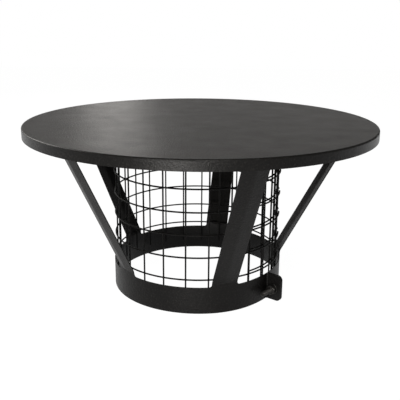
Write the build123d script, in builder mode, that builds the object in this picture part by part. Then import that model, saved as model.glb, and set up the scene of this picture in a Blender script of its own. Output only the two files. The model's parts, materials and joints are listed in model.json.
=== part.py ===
"""Flue rain cap: a flat lid on five creased legs over a clamp collar, with a welded wire bird mesh inside.

Units are millimetres. The origin is on the lid's axis at the collar's lower rim, +Z is up.
Azimuths are degrees about Z, counted from the front (-Y) towards the right (+X).
"""

import os
from math import atan2, cos, degrees, hypot, radians, sin, sqrt, tan

from build123d import *

os.makedirs("parts", exist_ok=True)

# Lid
lid_radius = 200.0
lid_top_z = 192.35
lid_rim_height = 11.05
lid_bend_radius = 1.6

# Sheet of the lid and the collar
sheet_t = 1.0

# Collar band, one hand-bent oval made of tangent arcs
band_height = 30.2
front_arc_radius = 100.0
front_right_arc_radius = 88.0
clamp_arc_radius = 117.0
right_back_arc_radius = 101.0
front_arc_left = 1.65
front_arc_ahead = 4.5
arc_breaks = (-70.0, 5.0, 40.0, 85.0, 130.0, 225.0, 290.0)

# Legs, cut from the band's sheet: azimuth of each, and how far out its ridge is at the top
left_front_azimuth = -52.3
left_front_top = 179.5
left_back_azimuth = -122.3
left_back_top = 187.0
back_azimuth = 166.8
back_top = 186.6
right_front_azimuth = 15.7
right_front_top = 194.2
right_back_azimuth = 95.8
right_back_top = 186.0
leg_base_width = 29.1
leg_top_width = 27.2
leg_slot_radius = 3.2
leg_root_height = 3.3
leg_bend_height = 6.3
leg_base_fold = 2.2
leg_top_fold = 2.4
leg_ridge_rise = 1.9
leg_root_rise = 0.05
leg_crease_width = 3.2
foot_length = 18.0
foot_corner_radius = 4.0

# Clamp, two flanges turned outward where the band is split
clamp_azimuth = 52.27
clamp_lean = -5.8
clamp_gap = 1.3
flange_reach = 19.0
flange_corner_radius = 5.5
flange_bend_radius = 1.5
bolt_reach = 9.0
bolt_height = 13.6
flange_hole_clearance = 0.09

# M6 bolt, nut and washer
bolt_radius = 3.0
bolt_length = 25.0
bolt_head_height = 4.0
bolt_seat_gap = 0.05
bolt_tip_chamfer = 0.8
hex_across_flats = 10.0
hex_sides = 6
hex_chamfer = 0.8
hex_chamfer_angle = 30.0
hex_edge_break = 0.2
nut_height = 5.0
nut_mouth_chamfer = 0.4
nut_thread_clearance = 0.05
washer_radius = 6.0
washer_thickness = 1.6
washer_hole_radius = 3.2
washer_chamfer = 0.3

# Bird mesh, welded wire with the hoops outside the uprights. It stands in the band as an oval of its own:
# how much smaller its radius is than the band's, arc by arc, and how far its front arc is shifted
mesh_front_ease = 2.1
mesh_front_right_ease = -6.2
mesh_clamp_ease = 16.1
mesh_right_back_ease = -4.9
mesh_left_shift = 0.86
mesh_ahead_shift = -1.37
wire_radius = 0.9
weld_bite = 0.04
mesh_pitch = 25.19
hoop_count = 7
hoop_top_gap = 2.86
upright_pitch_angle = 14.4
upright_count = 29
upright_tail = 24.75
seam_azimuth = 34.6
seam_lap_pitches = 3
seam_wire_shift = 1.3
seam_rise = 1.2
hoop_stub_angle = 1.2
hoop_tail_angle = 5.0

# Levels and clearances that follow from the values above
lid_underside_z = lid_top_z - sheet_t
lid_rim_z = lid_top_z - lid_rim_height
foot_under_z = lid_underside_z - sheet_t
leg_root_z = band_height + leg_root_height
leg_bend_z = band_height + leg_bend_height
crossing_step = 2 * wire_radius - weld_bite
upright_inset = wire_radius + crossing_step
lap_step = 2 * crossing_step
hoop_top_z = lid_underside_z - hoop_top_gap
upright_low_z = hoop_top_z - (hoop_count - 1) * mesh_pitch - upright_tail
legs = {
    "left_front": (left_front_azimuth, left_front_top),
    "left_back": (left_back_azimuth, left_back_top),
    "back": (back_azimuth, back_top),
    "right_front": (right_front_azimuth, right_front_top),
    "right_back": (right_back_azimuth, right_back_top),
}
band_radii = [front_arc_radius, front_right_arc_radius, clamp_arc_radius, right_back_arc_radius]
mesh_eases = [mesh_front_ease, mesh_front_right_ease, mesh_clamp_ease, mesh_right_back_ease]
full_turn = 360.0
search_steps = 12
angle_tolerance = 0.000001


def outward(azimuth):
    """Horizontal unit vector that points away from the axis at an azimuth."""
    return Vector(sin(radians(azimuth)), -cos(radians(azimuth)))


def along(azimuth):
    """Horizontal unit vector along the band, towards growing azimuth."""
    return Vector(cos(radians(azimuth)), sin(radians(azimuth)))


def closing_radii(known):
    """Radii of the last two arcs, the back and the left one, that close the oval."""
    normals = [outward(azimuth) for azimuth in arc_breaks]
    chords = [normals[i + 1] - normals[i] for i in range(len(normals) - 1)]
    rest = Vector(0, 0)
    for radius, chord in zip(known, chords):
        rest = rest - chord * radius
    back, left = chords[-2], chords[-1]
    area = back.X * left.Y - back.Y * left.X
    back_radius = (rest.X * left.Y - rest.Y * left.X) / area
    left_radius = (back.X * rest.Y - back.Y * rest.X) / area
    return [back_radius, left_radius]


def arc_table(known, left, ahead):
    """Start azimuth, end azimuth, centre and radius of each arc of an oval."""
    radii = known + closing_radii(known)
    centre = Vector(-left, -ahead)
    table = []
    for i, radius in enumerate(radii):
        if i > 0:
            centre = centre + outward(arc_breaks[i]) * (radii[i - 1] - radius)
        table.append((arc_breaks[i], arc_breaks[i + 1], centre, radius))
    return table


band_oval = arc_table(band_radii, front_arc_left, front_arc_ahead)
mesh_oval = arc_table(
    [radius - ease for radius, ease in zip(band_radii, mesh_eases)],
    front_arc_left + mesh_left_shift,
    front_arc_ahead + mesh_ahead_shift,
)


def arc_at(oval, normal_azimuth):
    """The arc of an oval that holds a normal azimuth."""
    turned = (normal_azimuth - arc_breaks[0]) % full_turn + arc_breaks[0]
    for start, end, centre, radius in oval:
        if start <= turned <= end:
            return centre, radius
    return oval[0][2], oval[0][3]


def oval_point(oval, normal_azimuth, inset=0.0):
    """Point of the oval, moved inward by the inset, where it faces the normal azimuth."""
    centre, radius = arc_at(oval, normal_azimuth)
    return centre + outward(normal_azimuth) * (radius - inset)


def normal_at(oval, azimuth, inset=0.0):
    """Normal azimuth of the oval at the point that lies at an azimuth about the lid's axis."""
    normal = azimuth
    for _ in range(search_steps):
        point = oval_point(oval, normal, inset)
        seen = degrees(atan2(point.X, -point.Y))
        normal = normal + (azimuth - seen + full_turn / 2) % full_turn - full_turn / 2
    return normal


def oval_arcs(oval, inset, start, end, z=0.0):
    """Arcs of the oval between two normal azimuths, in the open line context."""
    turn = (start - arc_breaks[0]) // full_turn * full_turn
    while turn + arc_breaks[0] < end:
        for low, high, centre, radius in oval:
            first = max(start, low + turn)
            last = min(end, high + turn)
            if last - first > angle_tolerance:
                CenterArc((centre.X, centre.Y, z), radius - inset, first - 90, last - first)
        turn = turn + full_turn


def oval_ring():
    """Plan of the sheet band."""
    first, last = arc_breaks[0], arc_breaks[-1]
    with BuildSketch() as ring:
        with BuildLine():
            oval_arcs(band_oval, 0.0, first, last)
        make_face()
        with BuildLine():
            oval_arcs(band_oval, sheet_t, first, last)
        make_face(mode=Mode.SUBTRACT)
    return ring.sketch_local


def leg_plane(azimuth, z):
    """Plane across a leg at its root: X against the azimuth, Y outward, origin on the band's face."""
    normal = normal_at(band_oval, azimuth)
    point = oval_point(band_oval, normal)
    return Plane(origin=(point.X, point.Y, z), x_dir=-along(normal), z_dir=(0, 0, 1))


def top_plane(azimuth, ridge_radius, z):
    """Plane across a leg at its top: X against the azimuth, Y outward, origin on the ridge."""
    point = outward(azimuth) * ridge_radius
    return Plane(origin=(point.X, point.Y, z), x_dir=-along(azimuth), z_dir=(0, 0, 1))


def root_section(azimuth):
    """Leg section at the root: a curved piece of the band where the crease just begins."""
    half, crease = leg_base_width / 2, leg_crease_width / 2
    radius = arc_at(band_oval, normal_at(band_oval, azimuth))[1]
    stations = (-half, -crease, crease, half)

    def face_point(x, inset):
        rise = leg_root_rise if x == 0 else 0.0
        return (x, sqrt((radius - inset) ** 2 - x**2) - radius + rise)

    with BuildSketch() as section:
        with BuildLine():
            for inset in (0.0, sheet_t):
                for left, right in zip(stations, stations[1:]):
                    knots = (left, (left + right) / 2, right)
                    ThreePointArc(*[face_point(x, inset) for x in knots])
            for side in (-half, half):
                Line(face_point(side, 0.0), face_point(side, sheet_t))
        make_face()
    return section.sketch_local


def folded_section(width, fold, rise, depth):
    """Leg section above the bend: two facets that meet in a rounded ridge."""
    half, crease = width / 2, leg_crease_width / 2
    slope = fold / half
    shoulder = rise - slope * crease
    crest = rise - slope * crease / 2
    with BuildSketch() as section:
        with BuildLine():
            Line((-half, rise - fold), (-crease, shoulder))
            ThreePointArc((-crease, shoulder), (0, crest), (crease, shoulder))
            Line((crease, shoulder), (half, rise - fold))
            Line((half, rise - fold), (half, rise - fold - depth))
            Line((half, rise - fold - depth), (crease, shoulder - depth))
            ThreePointArc((crease, shoulder - depth), (0, crest - depth), (-crease, shoulder - depth))
            Line((-crease, shoulder - depth), (-half, rise - fold - depth))
            Line((-half, rise - fold - depth), (-half, rise - fold))
        make_face()
    return section.sketch_local


def turning_plane(across):
    """Plane through an axis: X away from it, Y along it, for a profile that is turned about it."""
    return Plane(origin=across.origin, x_dir=(0, 0, 1), z_dir=Vector(0, 0, 1).cross(across.z_dir))


def hex_envelope(height, low_chamfer, high_chamfer):
    """Half profile of the round that trims a hexagon's corners at both ends."""
    corner = hex_across_flats / 2 / cos(radians(full_turn / 2 / hex_sides))
    lean = tan(radians(hex_chamfer_angle))
    with BuildSketch() as profile:
        with BuildLine():
            Polyline(
                (0, 0),
                (corner - low_chamfer, 0),
                (corner, low_chamfer * lean),
                (corner, height - high_chamfer * lean),
                (corner - high_chamfer, height),
                (0, height),
                close=True,
            )
        make_face()
    return profile.sketch_local


def leg_slope_stretch(azimuth, ridge_radius):
    """How much deeper a level cut through the sloping sheet is than the sheet is thick."""
    root = oval_point(band_oval, normal_at(band_oval, azimuth))
    run = ridge_radius - hypot(root.X, root.Y) - leg_ridge_rise
    rise = foot_under_z - leg_bend_z
    return hypot(run, rise) / rise


# Lid: a flat disc with its rim turned down
with BuildPart() as lid:
    with BuildSketch(Plane.XZ):
        inner_bend = lid_bend_radius - sheet_t
        with BuildLine():
            Polyline(
                (0, lid_underside_z),
                (0, lid_top_z),
                (lid_radius - lid_bend_radius, lid_top_z),
            )
            RadiusArc(
                (lid_radius - lid_bend_radius, lid_top_z),
                (lid_radius, lid_top_z - lid_bend_radius),
                lid_bend_radius,
            )
            Polyline(
                (lid_radius, lid_top_z - lid_bend_radius),
                (lid_radius, lid_rim_z),
                (lid_radius - sheet_t, lid_rim_z),
                (lid_radius - sheet_t, lid_top_z - lid_bend_radius),
            )
            RadiusArc(
                (lid_radius - sheet_t, lid_top_z - lid_bend_radius),
                (lid_radius - lid_bend_radius, lid_underside_z),
                -inner_bend,
            )
            Line((lid_radius - lid_bend_radius, lid_underside_z), (0, lid_underside_z))
        make_face()
    revolve(axis=Axis.Z)

# Collar: band, clamp flanges, five legs and their feet, all folded from one sheet
clamp_normal = normal_at(band_oval, clamp_azimuth)
clamp_root = oval_point(band_oval, clamp_normal)
clamp_turn = clamp_normal + clamp_lean
clamp_frame = Plane(origin=(clamp_root.X, clamp_root.Y, 0), x_dir=outward(clamp_turn), z_dir=(0, 0, 1))
flange_middle = (clamp_gap + sheet_t) / 2
near_face = clamp_gap / 2 + sheet_t
head_seat = -near_face - bolt_seat_gap

with BuildPart() as collar:
    with BuildSketch():
        add(oval_ring())
    extrude(amount=band_height)
    with BuildSketch(clamp_frame):
        Rectangle(2 * (sheet_t + flange_bend_radius), clamp_gap)
    extrude(amount=band_height, mode=Mode.SUBTRACT)
    with BuildSketch(clamp_frame):
        for side in (-1, 1):
            with Locations(((flange_reach - sheet_t / 2) / 2, side * flange_middle)):
                Rectangle(flange_reach + sheet_t / 2, sheet_t)
    extrude(amount=band_height)
    band_edges = collar.edges().filter_by(Axis.Z)
    bends = []
    for side in (-1, 1):
        inside_corner = clamp_frame.from_local_coords(Vector(0, side * near_face, band_height / 2))
        bends.append(band_edges.sort_by_distance(inside_corner)[0])
    fillet(bends, flange_bend_radius)
    tips = []
    for side in (-1, 1):
        for z in (0, band_height):
            tip = clamp_frame.from_local_coords(Vector(flange_reach, side * flange_middle, z))
            tips.append(collar.edges().sort_by_distance(tip)[0])
    fillet(tips, flange_corner_radius)
    bolt_plane = Plane(
        origin=clamp_frame.from_local_coords(Vector(bolt_reach, 0, bolt_height)),
        x_dir=(0, 0, 1),
        z_dir=-along(clamp_turn),
    )
    bolt_axis = Axis(bolt_plane.origin, bolt_plane.z_dir)
    with BuildSketch(bolt_plane):
        Circle(bolt_radius + flange_hole_clearance)
    extrude(amount=2 * near_face, both=True, mode=Mode.SUBTRACT)

    # Leg roots: strips of the band that stand up between the windows
    for azimuth, ridge_radius in legs.values():
        root_plane = leg_plane(azimuth, band_height)
        with BuildSketch(Plane.XY.offset(band_height)):
            add(oval_ring())
            spot = (root_plane.origin.X, root_plane.origin.Y)
            with Locations(Location(spot, normal_at(band_oval, azimuth))):
                Rectangle(leg_base_width, leg_base_width / 2, mode=Mode.INTERSECT)
        extrude(amount=leg_root_height)
    rim_edges = collar.edges().filter_by_position(Axis.Z, band_height, band_height)
    cut_edges = rim_edges.filter_by(lambda edge: edge.length < 2 * sheet_t)
    window_corners = []
    for azimuth, ridge_radius in legs.values():
        root_plane = leg_plane(azimuth, band_height)
        for side in (-1, 1):
            corner = root_plane.from_local_coords(Vector(side * leg_base_width / 2, -sheet_t, 0))
            window_corners.append(cut_edges.sort_by_distance(corner)[0])
    fillet(window_corners, leg_slot_radius)

    # Legs and feet
    for azimuth, ridge_radius in legs.values():
        depth = sheet_t * leg_slope_stretch(azimuth, ridge_radius)
        with BuildSketch(leg_plane(azimuth, leg_root_z)):
            add(root_section(azimuth))
        with BuildSketch(leg_plane(azimuth, leg_bend_z)):
            add(folded_section(leg_base_width, leg_base_fold, leg_ridge_rise, depth))
        with BuildSketch(top_plane(azimuth, ridge_radius, foot_under_z)):
            add(folded_section(leg_top_width, leg_top_fold, 0.0, depth))
        loft(ruled=True)
        with BuildSketch(top_plane(azimuth, ridge_radius, foot_under_z)):
            add(folded_section(leg_top_width, leg_top_fold, 0.0, foot_length + leg_top_fold))
            with Locations((0, -foot_length - leg_top_fold)):
                Rectangle(leg_top_width, leg_top_fold * 2, mode=Mode.SUBTRACT)
        extrude(amount=sheet_t)

    foot_edges = collar.edges().filter_by(Axis.Z).filter_by(lambda edge: edge.center().Z > foot_under_z)
    foot_corners = []
    for azimuth, ridge_radius in legs.values():
        foot_plane = top_plane(azimuth, ridge_radius, foot_under_z)
        for side in (-1, 1):
            corner = foot_plane.from_local_coords(Vector(side * leg_top_width / 2, -foot_length, 0))
            foot_corners.append(foot_edges.sort_by_distance(corner)[0])
    fillet(foot_corners, foot_corner_radius)

collar.part.label = "collar"
lid.part.label = "lid"
export_step(lid.part, "parts/lid.step")
export_step(collar.part, "parts/collar.step")

# Clamp bolt: hexagon head behind the far flange, thread towards the front
with BuildPart() as bolt:
    with BuildSketch(bolt_plane.offset(head_seat - bolt_head_height)):
        RegularPolygon(hex_across_flats / 2, hex_sides, major_radius=False)
    extrude(amount=bolt_head_height)
    with BuildSketch(turning_plane(bolt_plane.offset(head_seat - bolt_head_height))):
        add(hex_envelope(bolt_head_height, hex_chamfer, hex_edge_break))
    revolve(axis=bolt_axis, mode=Mode.INTERSECT)
    with BuildSketch(bolt_plane.offset(head_seat)):
        Circle(bolt_radius)
    extrude(amount=bolt_length)
    chamfer(bolt.edges().filter_by(GeomType.CIRCLE).sort_by(bolt_axis)[-1], bolt_tip_chamfer)
bolt.part.label = "clamp_bolt"
export_step(bolt.part, "parts/clamp_bolt.step")

# Washer and nut on the near flange
washer_plane = bolt_plane.offset(near_face)
nut_plane = bolt_plane.offset(near_face + washer_thickness)
with BuildPart() as washer:
    with BuildSketch(washer_plane):
        Circle(washer_radius)
        Circle(washer_hole_radius, mode=Mode.SUBTRACT)
    extrude(amount=washer_thickness)
    chamfer(washer.edges().filter_by(GeomType.CIRCLE).group_by(SortBy.RADIUS)[-1], washer_chamfer)
washer.part.label = "clamp_washer"
export_step(washer.part, "parts/clamp_washer.step")

with BuildPart() as nut:
    with BuildSketch(nut_plane):
        RegularPolygon(hex_across_flats / 2, hex_sides, major_radius=False)
    extrude(amount=nut_height)
    with BuildSketch(turning_plane(nut_plane)):
        add(hex_envelope(nut_height, hex_chamfer, hex_chamfer))
    revolve(axis=bolt_axis, mode=Mode.INTERSECT)
    with BuildSketch(nut_plane):
        Circle(bolt_radius + nut_thread_clearance)
    extrude(amount=nut_height, mode=Mode.SUBTRACT)
    mouths = nut.edges().filter_by(GeomType.CIRCLE).group_by(SortBy.RADIUS)[0]
    chamfer(mouths, nut_mouth_chamfer)
nut.part.label = "clamp_nut"
export_step(nut.part, "parts/clamp_nut.step")

# Uprights of the bird mesh, the first ones behind the last ones where the panel laps itself
for index in range(upright_count):
    inner_layer = index <= seam_lap_pitches
    azimuth = seam_azimuth + index * upright_pitch_angle
    if inner_layer:
        azimuth = azimuth + seam_wire_shift
    inset = upright_inset + (lap_step if inner_layer else 0.0)
    low_z = upright_low_z + (seam_rise if inner_layer else 0.0)
    foot_point = oval_point(mesh_oval, normal_at(mesh_oval, azimuth, inset), inset)
    with BuildPart() as upright:
        with BuildSketch(Plane.XY.offset(low_z)):
            with Locations((foot_point.X, foot_point.Y)):
                Circle(wire_radius)
        extrude(amount=lid_underside_z - low_z)
    upright.part.label = f"mesh_upright_{index + 1:02d}"
    export_step(upright.part, f"parts/mesh_upright_{index + 1:02d}.step")

# Hoops of the bird mesh, each one wire that starts inside the lap and ends outside it
lap_start = seam_azimuth + seam_wire_shift - hoop_stub_angle
lap_end = seam_azimuth + seam_lap_pitches * upright_pitch_angle + hoop_tail_angle
step_end = seam_azimuth + (seam_lap_pitches + 1) * upright_pitch_angle - hoop_stub_angle
inner_inset = wire_radius + lap_step
for index in range(hoop_count):
    hoop_z = hoop_top_z - index * mesh_pitch
    first_normal = normal_at(mesh_oval, lap_start, inner_inset)
    step_normal = normal_at(mesh_oval, lap_end, inner_inset)
    join_normal = normal_at(mesh_oval, step_end, wire_radius)
    last_normal = normal_at(mesh_oval, lap_end, wire_radius) + full_turn
    step_from = oval_point(mesh_oval, step_normal, inner_inset)
    step_to = oval_point(mesh_oval, join_normal, wire_radius)
    with BuildPart() as hoop:
        with BuildLine() as hoop_path:
            oval_arcs(mesh_oval, inner_inset, first_normal, step_normal, hoop_z + seam_rise)
            Spline(
                (step_from.X, step_from.Y, hoop_z + seam_rise),
                (step_to.X, step_to.Y, hoop_z),
                tangents=(along(step_normal), along(join_normal)),
            )
            oval_arcs(mesh_oval, wire_radius, join_normal, last_normal, hoop_z)
        start = oval_point(mesh_oval, first_normal, inner_inset)
        with BuildSketch(
            Plane(origin=(start.X, start.Y, hoop_z + seam_rise), x_dir=(0, 0, 1), z_dir=along(first_normal))
        ):
            Circle(wire_radius)
        sweep(path=hoop_path.wires()[0])
    hoop.part.label = f"mesh_hoop_{index + 1}"
    export_step(hoop.part, f"parts/mesh_hoop_{index + 1}.step")
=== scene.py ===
import json
import math

import bpy
from mathutils import Matrix, Vector


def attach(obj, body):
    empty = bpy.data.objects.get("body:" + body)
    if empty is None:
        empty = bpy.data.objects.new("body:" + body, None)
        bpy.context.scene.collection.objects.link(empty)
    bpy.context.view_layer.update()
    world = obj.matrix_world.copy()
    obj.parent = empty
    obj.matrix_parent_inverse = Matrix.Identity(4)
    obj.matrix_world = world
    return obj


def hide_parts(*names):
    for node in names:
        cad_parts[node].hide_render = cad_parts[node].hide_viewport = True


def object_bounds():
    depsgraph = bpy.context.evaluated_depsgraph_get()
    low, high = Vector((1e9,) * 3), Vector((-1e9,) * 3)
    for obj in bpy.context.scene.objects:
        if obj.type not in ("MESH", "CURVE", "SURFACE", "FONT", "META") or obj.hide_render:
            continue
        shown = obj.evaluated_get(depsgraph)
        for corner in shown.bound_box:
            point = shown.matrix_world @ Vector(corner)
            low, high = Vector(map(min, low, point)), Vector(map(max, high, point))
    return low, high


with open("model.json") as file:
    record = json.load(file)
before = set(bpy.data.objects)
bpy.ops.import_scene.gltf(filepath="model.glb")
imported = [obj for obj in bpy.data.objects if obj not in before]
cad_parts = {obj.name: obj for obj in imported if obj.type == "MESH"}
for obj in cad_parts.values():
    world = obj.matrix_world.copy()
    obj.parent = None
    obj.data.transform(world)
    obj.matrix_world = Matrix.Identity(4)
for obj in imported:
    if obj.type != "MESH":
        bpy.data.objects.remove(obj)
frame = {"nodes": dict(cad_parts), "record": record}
cad_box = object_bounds()

# Camera, solved from the lid's, collar's and mesh's edges in the photo; place in metres,
# turns in degrees, lens and sensor in millimetres
CAMERA_PLACE = (0.0, -0.7361, 0.31415)
CAMERA_PITCH = 16.405
CAMERA_YAW = 0.005
CAMERA_ROLL = 0.469
CAMERA_LENS = 57.897
CAMERA_SENSOR = 36.0

# M6 bolt, in metres. The flank is a share of the thread's depth over a share of its pitch,
# the chamfer's slope is a ratio, and the hexagon's sector is in degrees
THREAD_PITCH = 0.001
THREAD_CREST = 0.00297
THREAD_ROOT = 0.00245
THREAD_ROWS = 10
THREAD_SIDES = 120
FLANK_TOP = 1.25
FLANK_SLOPE = 3.0
HEAD_HEIGHT = 0.004
HEAD_FLATS = 0.005
HEAD_TRIM = 0.00577
HEAD_CHAMFER = 0.0004
HEAD_EDGE = 0.0001
CHAMFER_DEPTH = 0.0007
CHAMFER_SLOPE = 1.7
HEX_SECTOR = 60.0
TIP_TRIM = 0.0021

# Noise of the finishes, in waves per metre
CLOUD_SCALE = 9.0
SHEEN_SCALE = 35.0
PEEL_SCALE = 150.0
GRAIN_SCALE = 560.0
# Size of the pale specks that are painted on as glints of the grain
GLINT_SPECK_SCALE = 680.0
PATCH_SCALE = 260.0
RUB_SCALE = 700.0
TOOTH_SCALE = 1800.0

# Relief of the finishes, in metres, and the pale specks painted into the coat's colour as glints
# of the grain: their share, and how much lighter they are than their coat
PEEL_HEIGHT = 0.00012
TOOTH_HEIGHT = 0.00002
GLINT_SPECK_SHARE = 0.45
GLINT_SPECK_GAIN = 4.5

# Colour sockets of a mix node, whose names stand several times among its sockets
MIX_A = 6
MIX_B = 7
MIX_RESULT = 2

# World: a soft light for the object, and for each height of view the tone that is seen
WHITE = 1.0
WORLD_SOFT = 0.08
WORLD_SHARES = (1.0, 1.0, 1.0)
WORLD_RAMP = (
    (0.001, WHITE),
    (0.03, WHITE),
    (0.055, 0.06),
    (0.14, 0.07),
    (0.24, 0.82),
    (0.4, 0.5),
    (0.999, 0.45),
)
LIGHT_TINT = (1.0, 0.972, 0.935)

# Floor, in metres and shares of white
FLOOR_HALF = 3.0
FLOOR_DROP = 0.0002
FLOOR_COLOR = 0.6
FLOOR_GLOW = 1.16
FLOOR_SHARES = (0.85, 0.85, 0.85)

# Soft boxes: name, place, width and height, the point that they face, and watts
LAMPS = (
    ("front_box", (-0.5, -2.4, 0.17), (1.2, 0.3), (-0.1, 0.0, 0.1), 10.0),
    ("top_box", (-0.35, -1.5, 1.2), (0.4, 0.5), (-0.05, 0.0, 0.19), 15.0),
    ("low_box", (-0.21, -0.95, 0.05), (0.34, 0.08), (-0.03, 0.0, 0.1), 4.6),
    ("left_box", (-0.75, 0.25, 0.55), (0.5, 0.5), (-0.3, 0.0, 0.0), 6.0),
    ("strip_box", (-0.33, 1.7, 0.75), (0.22, 1.1), (-0.05, 0.0, 0.19), 0.95),
)


def add_camera():
    """A plain perspective camera at the photo's place."""
    pitch, yaw, roll = (math.radians(a) for a in (CAMERA_PITCH, CAMERA_YAW, CAMERA_ROLL))
    level = Vector((math.sin(yaw), math.cos(yaw), 0.0))
    ahead = level * math.cos(pitch) - Vector((0.0, 0.0, math.sin(pitch)))
    right = Vector((math.cos(yaw), -math.sin(yaw), 0.0))
    up = right.cross(ahead)
    side = right * math.cos(roll) + up * math.sin(roll)
    top = up * math.cos(roll) - right * math.sin(roll)
    data = bpy.data.cameras.new("camera")
    data.lens = CAMERA_LENS
    data.sensor_width = CAMERA_SENSOR
    camera = bpy.data.objects.new("camera", data)
    bpy.context.collection.objects.link(camera)
    turn = Matrix((side, top, -ahead)).transposed().to_4x4()
    camera.matrix_world = Matrix.Translation(CAMERA_PLACE) @ turn
    bpy.context.scene.camera = camera


class Shader:
    """Builds one material's node tree with short calls."""

    def __init__(self, name):
        self.material = bpy.data.materials.new(name)
        self.material.use_nodes = True
        self.tree = self.material.node_tree
        self.surface = self.tree.nodes["Principled BSDF"]
        self.place = self.node("ShaderNodeTexCoord").outputs["Object"]

    def node(self, kind, **values):
        made = self.tree.nodes.new(kind)
        for key, value in values.items():
            setattr(made, key, value)
        return made

    def feed(self, value, socket):
        if isinstance(value, bpy.types.NodeSocket):
            self.tree.links.new(value, socket)
        else:
            socket.default_value = value

    def noise(self, scale, detail=2.0, rough=0.5):
        made = self.node("ShaderNodeTexNoise")
        self.feed(self.place, made.inputs["Vector"])
        made.inputs["Scale"].default_value = scale
        made.inputs["Detail"].default_value = detail
        made.inputs["Roughness"].default_value = rough
        return made.outputs["Fac"]

    def spread(self, value, low, high, to_low=0.0, to_high=1.0):
        made = self.node("ShaderNodeMapRange")
        self.feed(value, made.inputs["Value"])
        made.inputs["From Min"].default_value = low
        made.inputs["From Max"].default_value = high
        made.inputs["To Min"].default_value = to_low
        made.inputs["To Max"].default_value = to_high
        return made.outputs["Result"]

    def mix(self, value, low, high):
        made = self.node("ShaderNodeMix", data_type="RGBA")
        self.feed(value, made.inputs["Factor"])
        self.feed(low, made.inputs[MIX_A])
        self.feed(high, made.inputs[MIX_B])
        return made.outputs[MIX_RESULT]

    def bump(self, height, distance, strength=1.0, below=None):
        made = self.node("ShaderNodeBump")
        made.inputs["Distance"].default_value = distance
        made.inputs["Strength"].default_value = strength
        self.feed(height, made.inputs["Height"])
        if below:
            self.feed(below, made.inputs["Normal"])
        return made.outputs["Normal"]

    def finish(self, color, roughness, normal, metallic=0.0, specular=0.5):
        self.feed(color, self.surface.inputs["Base Color"])
        self.feed(roughness, self.surface.inputs["Roughness"])
        self.feed(normal, self.surface.inputs["Normal"])
        self.feed(metallic, self.surface.inputs["Metallic"])
        self.feed(specular, self.surface.inputs["Specular IOR Level"])
        return self.material


def powder_coat(name, dark, light, gloss, grain, specular):
    """Black powder coat: sandy grain, soft orange peel, pale specks painted into its colour as
    glints, slow changes of tone.
    """
    s = Shader(name)
    tone = s.spread(s.noise(CLOUD_SCALE, detail=3.0), 0.35, 0.65)
    # Pale specks painted into the colour as glints of the grain, lighter than the coat
    glint_speck = s.spread(s.noise(GLINT_SPECK_SCALE, detail=1.0), 0.55, 0.72, to_high=GLINT_SPECK_SHARE)
    color = s.mix(tone, dark, light)
    glint_color = tuple(GLINT_SPECK_GAIN * part for part in light[:3]) + (1.0,)
    color = s.mix(glint_speck, color, glint_color)
    rough = s.spread(s.noise(SHEEN_SCALE, detail=4.0, rough=0.6), 0.3, 0.7, *gloss)
    peel = s.bump(s.noise(PEEL_SCALE), PEEL_HEIGHT, strength=0.3)
    fine = s.bump(s.noise(GRAIN_SCALE, rough=0.6), grain, below=peel)
    return s.finish(color, rough, fine, specular=specular)


def lid_coat():
    """The lid's coat, the smoothest and the lightest."""
    return powder_coat(
        "lid_coat",
        dark=(0.0032, 0.0030, 0.0028, 1.0),
        light=(0.0048, 0.0045, 0.0042, 1.0),
        gloss=(0.31, 0.37),
        grain=0.00033,
        specular=0.12,
    )


def collar_coat():
    """The coat of the collar's band, legs and flanges, duller and grainier than the lid's."""
    return powder_coat(
        "collar_coat",
        dark=(0.0026, 0.0024, 0.0023, 1.0),
        light=(0.0040, 0.0037, 0.0035, 1.0),
        gloss=(0.40, 0.47),
        grain=0.00036,
        specular=0.12,
    )


def wire_coat():
    """The mesh wires' coat, the darkest and dullest, with hardly any grain."""
    return powder_coat(
        "wire_coat",
        dark=(0.0015, 0.0014, 0.0013, 1.0),
        light=(0.0030, 0.0028, 0.0026, 1.0),
        gloss=(0.45, 0.55),
        grain=0.00002,
        specular=0.06,
    )


def fastener_steel():
    """Blackened steel of bolt, nut and washer: smoky patches, rubbed spots and a fine tooth."""
    s = Shader("fastener_steel")
    patch = s.spread(s.noise(PATCH_SCALE, detail=4.0, rough=0.65), 0.35, 0.68)
    color = s.mix(patch, (0.012, 0.0115, 0.011, 1.0), (0.045, 0.043, 0.041, 1.0))
    rough = s.spread(s.noise(RUB_SCALE, detail=3.0), 0.3, 0.7, to_low=0.34, to_high=0.5)
    normal = s.bump(s.noise(TOOTH_SCALE), TOOTH_HEIGHT, strength=0.8)
    return s.finish(color, rough, normal, metallic=0.6, specular=0.15)


def put_on(thing, material):
    """Gives an object one material in every slot, without touching its mesh's own list."""
    if not thing.material_slots:
        thing.data.materials.append(material)
    for place in thing.material_slots:
        place.link = "OBJECT"
        place.material = material


def dress():
    """Puts each node's finish on it, the wires' where nothing else is named. Returns the steel."""
    lid = lid_coat()
    collar = collar_coat()
    wire = wire_coat()
    steel = fastener_steel()
    chosen = {"lid": lid, "collar": collar}
    chosen.update(clamp_bolt=steel, clamp_nut=steel, clamp_washer=steel)
    for name, node in frame["nodes"].items():
        put_on(node, chosen.get(name, wire))
    return steel


def bolt_line():
    """The bolt's axis: a start point, the unit direction to its tip, and its two ends on it."""
    joints = frame["record"]["behaviour"]["joints"]
    joint = next(j for j in joints if j["name"] == "bolt_turn")
    start = Vector(joint["pos_m"])
    way = Vector(joint["axis"]).normalized()
    reach = [(v.co - start).dot(way) for v in frame["nodes"]["clamp_bolt"].data.vertices]
    return start, way, min(reach), max(reach)


def head_radius(rise, turn):
    """Radius of the hexagon head at a height over its far face and a share of a full turn."""
    fold = (turn * 360.0) % HEX_SECTOR - HEX_SECTOR / 2.0
    edge = min(rise, HEAD_CHAMFER) * CHAMFER_SLOPE
    return min(HEAD_FLATS / math.cos(math.radians(fold)), HEAD_TRIM - CHAMFER_DEPTH + edge)


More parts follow.
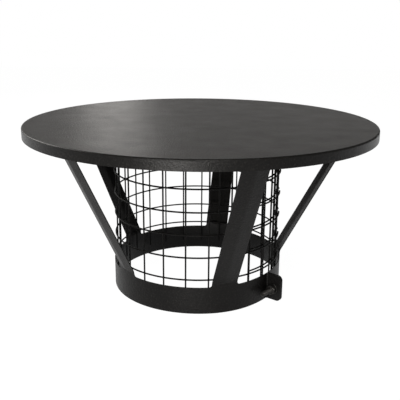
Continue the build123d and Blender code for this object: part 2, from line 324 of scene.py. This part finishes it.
def thread_radius(reach, turn):
    """Radius of the thread's flank at a place along the bolt and a share of a full turn."""
    phase = (reach / THREAD_PITCH - turn) % 1.0
    rise = min(1.0, max(0.0, FLANK_TOP - FLANK_SLOPE * abs(phase - 0.5)))
    return THREAD_ROOT + (THREAD_CREST - THREAD_ROOT) * rise


def bolt_rings():
    """Rings of points around the bolt's axis, from the head's far face to the thread's tip."""
    start, way, low, high = bolt_line()
    level = Vector((0.0, 0.0, 1.0))
    across = way.cross(level)
    seat = low + HEAD_HEIGHT
    head = [low, low + HEAD_CHAMFER, seat - HEAD_EDGE, seat]
    count = int((high - seat) / THREAD_PITCH * THREAD_ROWS)
    shank = [seat + (high - seat) * i / count for i in range(count + 1)]
    rings = []
    for row, reach in enumerate(head + shank):
        ring = []
        for side in range(THREAD_SIDES):
            turn = side / THREAD_SIDES
            if row < len(head):
                radius = head_radius(reach - low, turn)
            else:
                radius = min(thread_radius(reach - seat, turn), TIP_TRIM + high - reach)
            spin = 2.0 * math.pi * turn
            out = level * math.cos(spin) + across * math.sin(spin)
            ring.append(start + way * reach + out * radius)
        rings.append(ring)
    return rings


def ring_faces(rows, sides):
    """Faces that close a stack of rings: a cap, the skin between each two rings, and a cap."""
    faces = [tuple(range(sides))]
    for row in range(rows - 1):
        here, there = row * sides, (row + 1) * sides
        for side in range(sides):
            after = (side + 1) % sides
            faces.append((here + after, here + side, there + side, there + after))
    last = (rows - 1) * sides
    faces.append(tuple(last + side for side in reversed(range(sides))))
    return faces


def threaded_bolt(steel):
    """The clamp bolt with a cut thread, one closed skin from its head to its tip."""
    rings = bolt_rings()
    points = [point for ring in rings for point in ring]
    mesh = bpy.data.meshes.new("clamp_bolt_thread")
    mesh.from_pydata(points, [], ring_faces(len(rings), THREAD_SIDES))
    mesh.validate()
    mesh.update()
    bolt = bpy.data.objects.new("clamp_bolt_thread", mesh)
    bpy.context.collection.objects.link(bolt)
    put_on(bolt, steel)
    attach(bolt, "bolt")
    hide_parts("clamp_bolt")


def seen_factor(tree, shares):
    """How much of the plain background camera, glossy and transmission rays each see."""
    path = tree.nodes.new("ShaderNodeLightPath")
    rays = ("Is Camera Ray", "Is Glossy Ray", "Is Transmission Ray")
    total = None
    for name, share in zip(rays, shares):
        add = tree.nodes.new("ShaderNodeMath")
        add.operation = "MULTIPLY_ADD"
        add.inputs[1].default_value = share
        add.inputs[2].default_value = 0.0
        tree.links.new(path.outputs[name], add.inputs[0])
        if total:
            tree.links.new(total, add.inputs[2])
        total = add.outputs[0]
    return total


def tinted(tone):
    """A grey in the light's tint as a colour with alpha; white stays plain white."""
    tint = (1.0, 1.0, 1.0) if tone == WHITE else LIGHT_TINT
    return [tone * part for part in tint] + [1.0]


def add_world():
    """White up to just above the horizon, a dim studio over it, and an even soft light."""
    world = bpy.data.worlds.new("studio")
    bpy.context.scene.world = world
    world.use_nodes = True
    tree = world.node_tree
    tree.nodes.clear()
    out = tree.nodes.new("ShaderNodeOutputWorld")
    choose = tree.nodes.new("ShaderNodeMixShader")
    room = tree.nodes.new("ShaderNodeBackground")
    room.inputs["Color"].default_value = tinted(WORLD_SOFT)
    seen = tree.nodes.new("ShaderNodeBackground")
    way = tree.nodes.new("ShaderNodeTexCoord")
    split = tree.nodes.new("ShaderNodeSeparateXYZ")
    ramp = tree.nodes.new("ShaderNodeValToRGB")
    for place, tone in WORLD_RAMP:
        stop = ramp.color_ramp.elements.new(place)
        stop.color = tinted(tone)
    ramp.color_ramp.elements.remove(ramp.color_ramp.elements[0])
    ramp.color_ramp.elements.remove(ramp.color_ramp.elements[-1])
    tree.links.new(way.outputs["Generated"], split.inputs[0])
    tree.links.new(split.outputs["Z"], ramp.inputs["Fac"])
    tree.links.new(ramp.outputs["Color"], seen.inputs["Color"])
    tree.links.new(seen_factor(tree, WORLD_SHARES), choose.inputs["Fac"])
    tree.links.new(room.outputs[0], choose.inputs[1])
    tree.links.new(seen.outputs[0], choose.inputs[2])
    tree.links.new(choose.outputs[0], out.inputs["Surface"])


def floor_white():
    """Plain paint for the light, and an even white for the rays that see the background."""
    material = bpy.data.materials.new("floor_white")
    material.use_nodes = True
    tree = material.node_tree
    tree.nodes.clear()
    out = tree.nodes.new("ShaderNodeOutputMaterial")
    paint = tree.nodes.new("ShaderNodeBsdfDiffuse")
    paint.inputs["Color"].default_value = (FLOOR_COLOR, FLOOR_COLOR, FLOOR_COLOR, 1.0)
    glow = tree.nodes.new("ShaderNodeEmission")
    glow.inputs["Strength"].default_value = FLOOR_GLOW
    mix = tree.nodes.new("ShaderNodeMixShader")
    tree.links.new(seen_factor(tree, FLOOR_SHARES), mix.inputs["Fac"])
    tree.links.new(paint.outputs[0], mix.inputs[1])
    tree.links.new(glow.outputs[0], mix.inputs[2])
    tree.links.new(mix.outputs[0], out.inputs["Surface"])
    return material


def add_floor():
    """A wide pale floor at the collar's lower rim, which keeps the object's shadow."""
    mesh = bpy.data.meshes.new("floor")
    half = FLOOR_HALF
    drop = cad_box[0][2] - FLOOR_DROP
    corners = [(-half, -half, drop), (half, -half, drop), (half, half, drop), (-half, half, drop)]
    mesh.from_pydata(corners, [], [(0, 1, 2, 3)])
    floor = bpy.data.objects.new("floor", mesh)
    bpy.context.collection.objects.link(floor)
    mesh.materials.append(floor_white())


def add_lamps():
    """Soft boxes: far in front, high in front, low and near, at the left, and a strip behind."""
    for name, place, size, aim, power in LAMPS:
        data = bpy.data.lights.new(name, "AREA")
        data.shape = "RECTANGLE"
        data.size, data.size_y = size
        data.energy = power
        data.color = LIGHT_TINT
        lamp = bpy.data.objects.new(name, data)
        bpy.context.collection.objects.link(lamp)
        lamp.location = place
        lamp.rotation_euler = (Vector(aim) - Vector(place)).to_track_quat("-Z", "Y").to_euler()
        lamp.visible_camera = False


add_camera()
steel = dress()
threaded_bolt(steel)
add_world()
add_floor()
add_lamps()
bpy.context.scene.view_settings.view_transform = "Standard"
